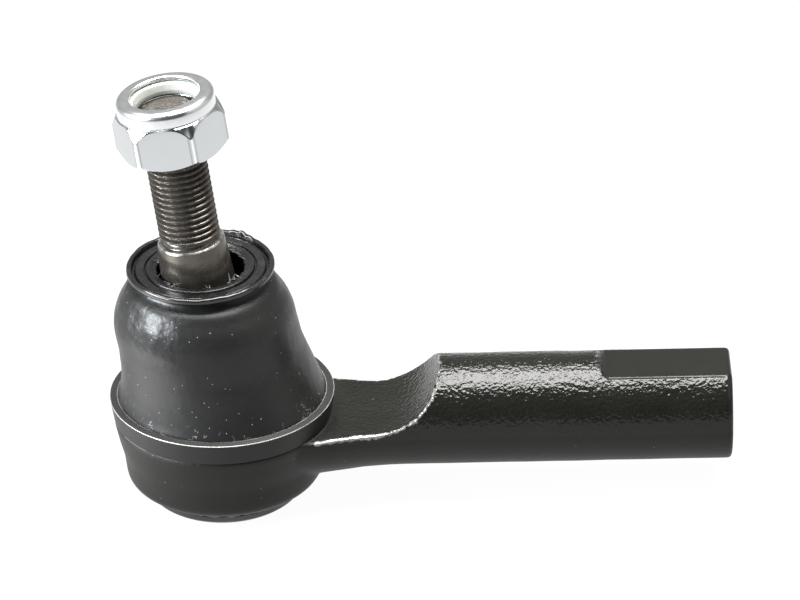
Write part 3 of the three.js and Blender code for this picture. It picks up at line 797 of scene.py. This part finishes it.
def flash_tree(finish):
    """Torn slivers of moulding flash standing round a circle, thinned out by a noise."""
    tree = bpy.data.node_groups.new("torn_flash", "GeometryNodeTree")
    for name, kind, value in (
            ("Slivers", "NodeSocketInt", 150), ("Ring radius", "NodeSocketFloat", 0.0087),
            ("Ring height", "NodeSocketFloat", 0.05), ("Ring centre X", "NodeSocketFloat", 0.0),
            ("Sliver length", "NodeSocketFloat", 0.0012), ("Share kept", "NodeSocketFloat", 0.5),
            ("Seed", "NodeSocketInt", 3)):
        tree.interface.new_socket(name, in_out="INPUT", socket_type=kind).default_value = value
    tree.interface.new_socket("Geometry", in_out="OUTPUT", socket_type="NodeSocketGeometry")
    inputs = tree.nodes.new("NodeGroupInput").outputs

    def add(kind, settings=None, **links):
        node = tree.nodes.new(kind)
        for key, value in (settings or {}).items():
            setattr(node, key, value)
        for key, value in links.items():
            numbered = key[0] == "_" and key[1:].isdigit()
            socket = node.inputs[int(key[1:]) if numbered else key.replace("_", " ")]
            if isinstance(value, bpy.types.NodeSocket):
                tree.links.new(value, socket)
            else:
                socket.default_value = value
        return node.outputs

    ring = add("GeometryNodeMeshCircle", Vertices=inputs["Slivers"], Radius=inputs["Ring radius"])["Mesh"]
    jitter = add("FunctionNodeRandomValue", {"data_type": "FLOAT_VECTOR"}, _0=(-0.0003, -0.0003, -0.0002),
                 _1=(0.0003, 0.0003, 0.0002), Seed=inputs["Seed"])[0]
    centre = add("ShaderNodeCombineXYZ", X=inputs["Ring centre X"], Z=inputs["Ring height"])[0]
    offset = add("ShaderNodeVectorMath", {"operation": "ADD"}, _0=jitter, _1=centre)[0]
    placed = add("GeometryNodeSetPosition", Geometry=ring, Offset=offset)[0]
    place = add("GeometryNodeInputPosition")[0]
    patchy = add("ShaderNodeTexNoise", Vector=place, Scale=260.0, Detail=1.0)[0]
    kept = add("FunctionNodeCompare", {"data_type": "FLOAT", "operation": "LESS_THAN"}, _0=patchy,
               _1=inputs["Share kept"])[0]
    turn_by = add("FunctionNodeRandomValue", {"data_type": "FLOAT_VECTOR"}, _0=(-1.3, -1.3, 0.0),
                  _1=(1.3, 1.3, 6.28), Seed=inputs["Seed"])[0]
    grow = add("FunctionNodeRandomValue", {"data_type": "FLOAT_VECTOR"}, _0=(0.35, 0.35, 0.4),
               _1=(0.9, 0.9, 1.5), Seed=inputs["Seed"])[0]
    sliver = add("GeometryNodeMeshCone", Vertices=5, Radius_Top=0.00003, Radius_Bottom=0.00017,
                 Depth=inputs["Sliver length"])["Mesh"]
    spread = add("GeometryNodeInstanceOnPoints", Points=placed, Selection=kept, Instance=sliver,
                 Rotation=turn_by, Scale=grow)[0]
    solid = add("GeometryNodeRealizeInstances", Geometry=spread)[0]
    coated = add("GeometryNodeSetMaterial", Geometry=solid, Material=finish.material)[0]
    tree.links.new(coated, tree.nodes.new("NodeGroupOutput").inputs[0])
    return tree


def grown(name, tree, **values):
    """The plain mesh that a node tree makes with the given inputs."""
    seedling = bpy.data.objects.new(name, bpy.data.meshes.new(name))
    bpy.context.collection.objects.link(seedling)
    modifier = seedling.modifiers.new("grow", "NODES")
    modifier.node_group = tree
    for socket in tree.interface.items_tree:
        key = socket.name.replace(" ", "_")
        if key in values:
            modifier[socket.identifier] = values[key]
    bpy.context.view_layer.update()
    mesh = bpy.data.meshes.new_from_object(seedling.evaluated_get(bpy.context.evaluated_depsgraph_get()))
    seedling.modifiers.remove(modifier)
    seedling.data = mesh
    return seedling


flash_rubber = Finish("flash_rubber", Specular_IOR_Level=0.6)
flash_rubber.set(
    Base_Color=flash_rubber.blend(flash_rubber.clouds(1.5), (0.03, 0.03, 0.03), (0.14, 0.14, 0.135)),
    Roughness=0.3 + 0.2 * flash_rubber.clouds(0.8),
)
torn = flash_tree(flash_rubber)
flash = grown("torn_flash", torn, Ring_radius=HOLE_R / 1000 + 0.0002, Ring_height=MOUTH_TOP / 1000 - 0.0006,
              Ring_centre_X=MOUTH_X / 1000, Slivers=150, Share_kept=0.47, Seed=5)
fit(flash, flash_rubber, "boot_mouth", ["boot_lip_ring"], 40)


# ---------------------------------------------------------------- ball stud
# Forged and turned steel in one piece: ball, waist, taper, undercut and rolled M12 x 1.25 thread, with a
# dark brown-grey phosphate finish.

STUD_AXIS = Vector(joints["stud_spin"]["axis"]).normalized()
STUD_PITCH, STUD_MAJOR, STUD_MINOR = 1.25, 5.98, 5.2
THREAD_LOW, THREAD_HIGH = 40.4, 68.8
BALL_R, BALL_FLAT_R, WAIST_JOIN_R = 11, 3, 5.6
LEDGE_Z = 39.75
lean = Vector((0, 0, 1)).rotation_difference(STUD_AXIS).to_matrix()
LEAN = np.array(lean)


def on_stud(points):
    """Sets a solid made along +Z from the ball's centre onto the stud's own axis."""
    return points @ LEAN.T + np.array([0, 0, BALL_Z])


def stud_shape(points):
    radius = np.hypot(points[:, 0], points[:, 1])
    angle = np.arctan2(points[:, 1], points[:, 0])
    z = points[:, 2]
    on_thread = (z > THREAD_LOW + 0.02) & (z < THREAD_HIGH - 0.15) & (radius > 4.9)
    crest = thread_height(z / STUD_PITCH + angle / (2 * math.pi))
    fade = np.clip((z - THREAD_LOW) / 0.9, 0, 1)
    root = STUD_MINOR + (STUD_MAJOR - STUD_MINOR) * crest * fade
    chamfer = 4.75 + (THREAD_HIGH - z) * 0.95
    wanted = np.minimum(root, np.maximum(chamfer, 4.7))
    scale = np.where(on_thread, wanted / np.maximum(radius, 1e-6), 1.0)
    return on_stud(np.stack([points[:, 0] * scale, points[:, 1] * scale, z], 1))


ball_turns = np.linspace(-math.acos(BALL_FLAT_R / BALL_R), math.acos(WAIST_JOIN_R / BALL_R), 60)
ball = [(BALL_R * math.cos(a), BALL_R * math.sin(a)) for a in ball_turns]
STUD = [(0, ball[0][1])] + ball + rounded([
    (5.4, 10.4, 1.0), (5.4, 17.5, 3.0), (6.2, 20.0, 1.5), (7.75, 21.8, 0.6), (6.8, 38.0, 1.0),
    (6.62, 39.5, 0.3), (6.3, 39.85, 0.1), (5.5, 40.0, 0.15), (5.3, 40.4)], 6)
STUD += [(5.3, z) for z in np.arange(THREAD_LOW + 0.1, THREAD_HIGH - 0.1, STUD_PITCH / 14)]
STUD += [(4.75, THREAD_HIGH - 0.08), (4.6, THREAD_HIGH), (4.0, THREAD_HIGH + 0.02),
         (3.0, THREAD_HIGH - 0.02), (1.5, THREAD_HIGH - 0.05), (0, THREAD_HIGH - 0.05)]

dark_steel = Finish("dark_steel", Specular_IOR_Level=0.5)
steel_tone = dark_steel.clouds(0.25, 4, 0.6)
dark_steel.set(
    Base_Color=dark_steel.blend(
        dark_steel.node("ShaderNodeAttribute", {"attribute_name": "wear_and_glint"}, output="Fac"),
        dark_steel.blend(steel_tone, (0.065, 0.058, 0.049), (0.125, 0.113, 0.099)),
        (0.5, 0.48, 0.45)),
    Metallic=0.8,
    Roughness=0.17 + 0.16 * dark_steel.clouds(0.9, 3),
)
dark_steel.relief((dark_steel.clouds(0.4, 3), 0.05), (dark_steel.clouds(1.6, 3, 0.6), 0.012))
stud_points, stud_faces = turned(STUD, 144, closed=False)
stud_out = np.hypot(stud_points[:, 0], stud_points[:, 1])
stud_angle = np.arctan2(stud_points[:, 1], stud_points[:, 0])
# a ragged bright ring along the ledge under the thread: partly worn metal, partly a painted highlight of the
# ledge's edge
ledge_wear_and_glint = np.exp(-(((stud_points[:, 2] - LEDGE_Z) / 0.2) ** 2)) * (stud_out > 6.1)
ledge_wear_and_glint *= 0.6 + 0.25 * np.sin(9 * stud_angle + 1) + 0.2 * np.sin(23 * stud_angle)
stud = piece("stud", stud_shape(stud_points), stud_faces, dark_steel, "stud", ["ball_stud"], 32, "dark_steel")
ledge_glint_layer = stud.data.attributes.new("wear_and_glint", "FLOAT", "POINT")
ledge_glint_layer.data.foreach_set("value", ledge_wear_and_glint.astype(np.float32))


# ---------------------------------------------------------------- lock nut
# Self-locking hexagon nut, 19.6 mm across its flats, bright zinc. Both ends of the hexagon are chamfered
# and a round collar is rolled over the insert.

NUT_LOW = (Vector(joints["nut_turn"]["pos_m"]) * 1000 - Vector((0, 0, BALL_Z))).dot(STUD_AXIS)
HEX_HIGH, NUT_HIGH = NUT_LOW + 8.9, NUT_LOW + 12.3
NUT_HALF = 9.8
COLLAR_R, LIP_R = 9.7, 6.85
NUT_TURN = math.radians(-4.1)
CORNER_ROUND, CHAMFER_DROP, CHAMFER_CURVE = 1.1, 2.3, 1.6


def hexagon_outline(corner_round, flat_points, round_points):
    """Points round a hexagon with rounded corners, its first flat facing -Y."""
    outline = []
    for side in range(6):
        middle = -math.pi / 2 + side * math.pi / 3
        out = np.array((math.cos(middle), math.sin(middle)))
        along = np.array((-out[1], out[0]))
        half_flat = NUT_HALF * math.tan(math.pi / 6) - corner_round * math.tan(math.pi / 6)
        for t in np.linspace(-half_flat, half_flat, flat_points):
            outline.append(out * NUT_HALF + along * t)
        centre_out = NUT_HALF - corner_round
        end = middle + math.pi / 6
        centre = np.array((math.cos(end), math.sin(end))) * centre_out / math.cos(math.pi / 6)
        for k in range(1, round_points):
            a = middle + math.pi / 3 * k / round_points
            outline.append(centre + corner_round * np.array((math.cos(a), math.sin(a))))
    return np.array(outline)


plan = hexagon_outline(CORNER_ROUND, 17, 9)
plan_r = np.hypot(*plan.T)
plan_way = plan / plan_r[:, None]
to_corner = (plan_r - NUT_HALF) / (plan_r.max() - NUT_HALF)
chamfer_high = HEX_HIGH + 0.1 - CHAMFER_DROP * to_corner**CHAMFER_CURVE
chamfer_low = NUT_LOW + 0.25 + (plan_r - NUT_HALF) * 0.8
rows = []


def nut_row(radius, height):
    radius = np.broadcast_to(radius, len(plan))
    height = np.broadcast_to(height, len(plan))
    rows.append(np.column_stack([plan_way * radius[:, None], height]))


def nut_arc(radius0, height0, radius1, height1, corner_radius, corner_height, steps=4):
    """A small rounding between two rows, pulled towards the corner they would meet in."""
    for k in range(steps + 1):
        t = k / steps
        a, b, c = (1 - t) ** 2, 2 * t * (1 - t), t**2
        radius = a * radius0 + b * corner_radius + c * radius1
        nut_row(radius, a * height0 + b * corner_height + c * height1)


nut_mouth = rounded([
    (6.6, NUT_LOW + 1.2), (6.35, NUT_LOW + 0.9, 0.1), (7.05, NUT_LOW, 0.2), (8.2, NUT_LOW)], 3)
for r, z in nut_mouth[1:]:
    nut_row(r, z)
nut_arc(8.9, NUT_LOW, NUT_HALF - 0.25, NUT_LOW + 0.12, 9.15, NUT_LOW)
soft = 0.22
nut_arc(plan_r - soft, chamfer_low - soft * 0.8, plan_r, chamfer_low + soft * 1.2, plan_r, chamfer_low)
for share in (0.33, 0.66):
    nut_row(plan_r, chamfer_low + soft * 1.2 + (chamfer_high - chamfer_low - soft * 2.4) * share)
nut_arc(plan_r, chamfer_high - soft * 1.3, plan_r - soft, chamfer_high + soft * 1.3, plan_r, chamfer_high)
shoulder_z = HEX_HIGH + 0.12
nut_arc(COLLAR_R + 0.28, shoulder_z - 0.1, COLLAR_R, shoulder_z + 0.3,
        COLLAR_R + 0.02, shoulder_z - 0.02)
for r, z in rounded([
        (COLLAR_R, shoulder_z + 0.35), (COLLAR_R + 0.02, NUT_HIGH - 0.05, 2.0), (LIP_R + 0.1, NUT_HIGH, 0.8),
        (LIP_R, NUT_HIGH - 0.8, 0.3),
        (LIP_R + 0.35, NUT_HIGH - 0.85, 0.15), (8.25, NUT_HIGH - 0.8, 0.2), (8.25, NUT_HIGH - 3.7, 0.1),
        (6.35, NUT_HIGH - 3.7, 0.2), (6.35, NUT_LOW + 1.0)], 6):
    nut_row(r, z)
count = len(plan)
nut_points = np.concatenate(rows)
# painted highlights: a thin near-white line along each corner, with a faint painted line of shade on both
# sides
past_corner = (np.degrees(np.arctan2(plan[:, 1], plan[:, 0])) + 360) % 60
painted_corner_glint = np.exp(-((past_corner - 0) / 1.1) ** 2) + np.exp(-((past_corner - 60) / 1.1) ** 2)
painted_corner_shade = np.exp(-((past_corner - 3.3) / 0.8) ** 2) + np.exp(-((past_corner - 56.7) / 0.8) ** 2)
nut_radius = np.hypot(nut_points[:, 0], nut_points[:, 1])
on_hexagon = (nut_radius > COLLAR_R + 0.25) & (nut_points[:, 2] < HEX_HIGH + 0.1)
nut_painted_lines = np.where(on_hexagon, np.tile(painted_corner_glint - painted_corner_shade, len(rows)), 0.0)
nut_faces = []
for k in range(len(rows)):
    for i in range(count):
        j = (i + 1) % count
        a, b = k * count, ((k + 1) % len(rows)) * count
        nut_faces.append([a + i, a + j, b + j, b + i])
spin = np.array([
    [math.cos(NUT_TURN), -math.sin(NUT_TURN), 0],
    [math.sin(NUT_TURN), math.cos(NUT_TURN), 0],
    [0, 0, 1]])

bright_zinc = Finish("bright_zinc", Metallic=1.0)
zinc_cloud = bright_zinc.clouds(0.18, 3)
zinc_painted_lines = bright_zinc.node("ShaderNodeAttribute", {"attribute_name": "edge"}, output="Fac")
zinc_collar_sheen = bright_zinc.node("ShaderNodeAttribute", {"attribute_name": "rolled"}, output="Fac")
# Base colour: painted highlights, near white, along the hexagon's corners and a painted line of shade beside
# each.
bright_zinc.set(
    Base_Color=bright_zinc.blend(
        (0 - zinc_painted_lines).between(0.2, 1.0),
        bright_zinc.blend(
            # the collar above the hexagon is lifted halfway to white, a painted sheen on the nut's top
            zinc_painted_lines.between(0.2, 0.9) + 0.5 * zinc_collar_sheen,
            bright_zinc.blend(zinc_cloud, (0.56, 0.58, 0.585), (0.6, 0.62, 0.635)),
            (0.99, 0.99, 0.99)),
        (0.28, 0.29, 0.3)),
    Roughness=0.13 + 0.1 * bright_zinc.clouds(0.5, 3) + 0.05 * zinc_collar_sheen,
)
bright_zinc.relief((bright_zinc.clouds(0.5, 3), 0.03), (bright_zinc.clouds(2.5, 2), 0.006))
hexagon_nut = piece("hexagon_nut", on_stud(nut_points @ spin.T), nut_faces, bright_zinc, "nut",
                    ["lock_nut"], 30, "bright_zinc")
# the collar above the hexagon carries the painted sheen
collar_sheen_layer = hexagon_nut.data.attributes.new("rolled", "FLOAT", "POINT")
collar_sheen_layer.data.foreach_set("value", (nut_points[:, 2] > HEX_HIGH + 0.2).astype(np.float32))
painted_lines_layer = hexagon_nut.data.attributes.new("edge", "FLOAT", "POINT")
painted_lines_layer.data.foreach_set("value", nut_painted_lines.astype(np.float32))


# ---------------------------------------------------------------- nylon insert
# Ivory ring held under the nut's rolled collar. The stud's thread has pressed its way into its bore.

ivory_nylon = Finish("ivory_nylon", Specular_IOR_Level=0.5, Subsurface_Weight=0.15,
                     Subsurface_Radius=(0.002, 0.0018, 0.001))
ivory_nylon.set(
    Base_Color=ivory_nylon.blend(ivory_nylon.clouds(0.3, 3), (0.24, 0.25, 0.225), (0.3, 0.31, 0.29)),
    Roughness=0.3 + 0.15 * ivory_nylon.clouds(0.9),
)
ivory_nylon.relief((ivory_nylon.clouds(0.8, 3), 0.03))
NYLON = rounded([
    (6.05, NUT_HIGH - 3.4, 0.1), (7.95, NUT_HIGH - 3.4, 0.2), (7.95, NUT_HIGH - 1.1, 0.2),
    (7.2, NUT_HIGH - 1.0, 0.4), (6.4, NUT_HIGH - 1.2, 0.6), (6.02, NUT_HIGH - 2.6, 0.4)])
piece("nylon_ring", *turned(NYLON, 144, shape=on_stud), ivory_nylon, "nut_travel", ["nylon_insert"], 40,
      "nylon")
